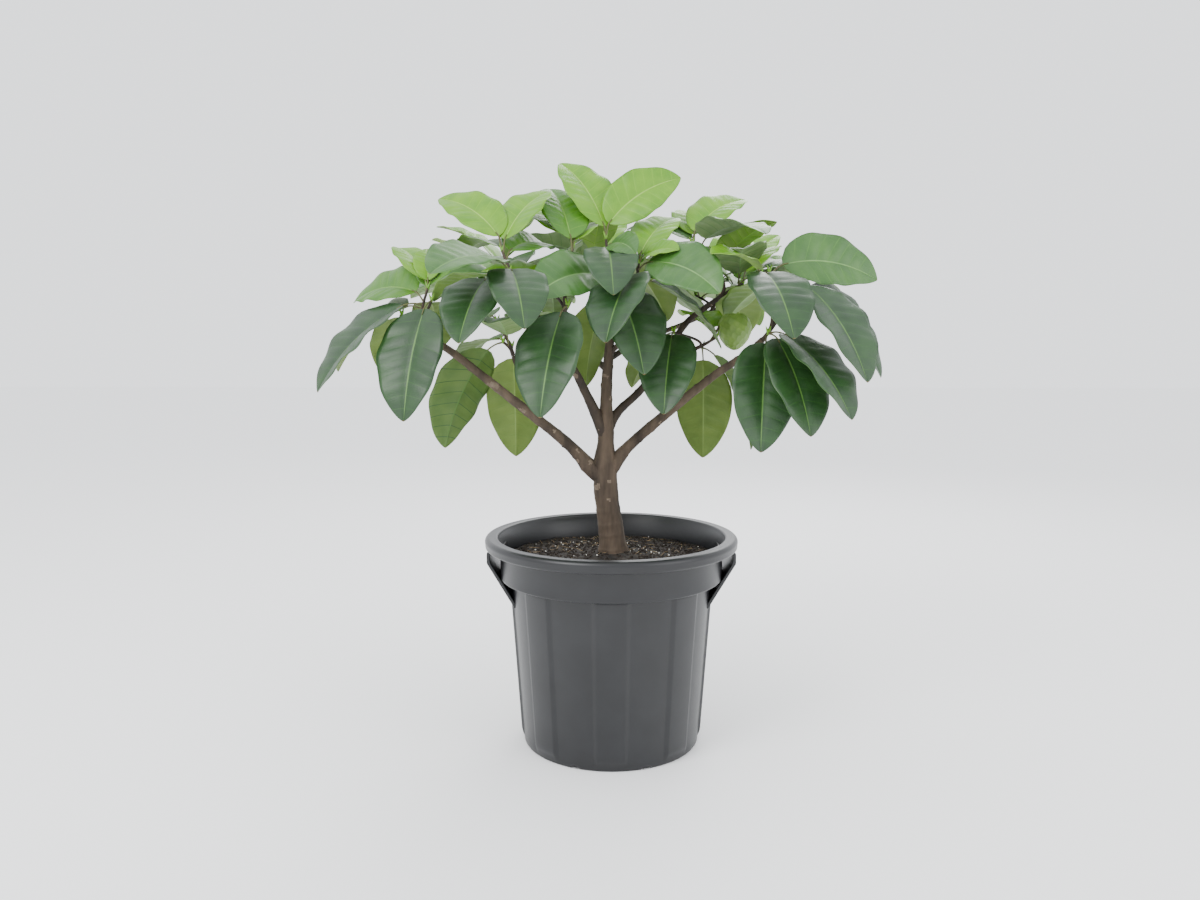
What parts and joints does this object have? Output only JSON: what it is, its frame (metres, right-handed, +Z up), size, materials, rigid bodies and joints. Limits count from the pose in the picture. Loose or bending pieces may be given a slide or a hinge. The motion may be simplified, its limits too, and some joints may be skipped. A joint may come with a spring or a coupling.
{
  "type": "potted cherimoya tree",
  "caption": "Young cherimoya fruit tree, low branching, with large drooping leaves and a green fruit, in a ribbed plastic pot with strap handles.",
  "frame": {"origin": "centre of the pot's flat underside, on the floor", "axes": "+Z up along the pot's axis, -Y towards the front, -X to the left"},
  "size_m": [1.1638, 0.8214, 1.2429],
  "materials": {
    "pot": "satin black moulded plastic",
    "soil": "dark loose potting mix with pale grains and straw fibres",
    "bark": "grey-brown bark with fine fissures and leaf scars",
    "foliage": "satin green leaves with raised veins"
  },
  "bodies": {
    "root": {"pot": "pot", "handle_left": "pot", "handle_right": "pot", "soil": "soil", "trunk": "bark", "bough_left": "bark", "bough_right": "bark", "bough_left_high": "bark", "bough_right_high": "bark", "bough_back": "bark", "bough_back_left": "bark", "bough_back_right": "bark", "spur_left": "bark", "spur_high": "bark", "spur_middle": "bark", "spur_right": "bark", "leaves_top": "foliage", "leaves_middle": "foliage", "leaves_left_high": "foliage", "leaves_left_crest": "foliage", "leaves_left": "foliage", "leaves_left_inner": "foliage", "leaves_right_high": "foliage", "leaves_right_inner": "foliage", "leaves_right": "foliage", "leaves_back": "foliage", "leaves_back_left": "foliage", "leaves_back_right": "foliage"}
  },
  "joints": []
}
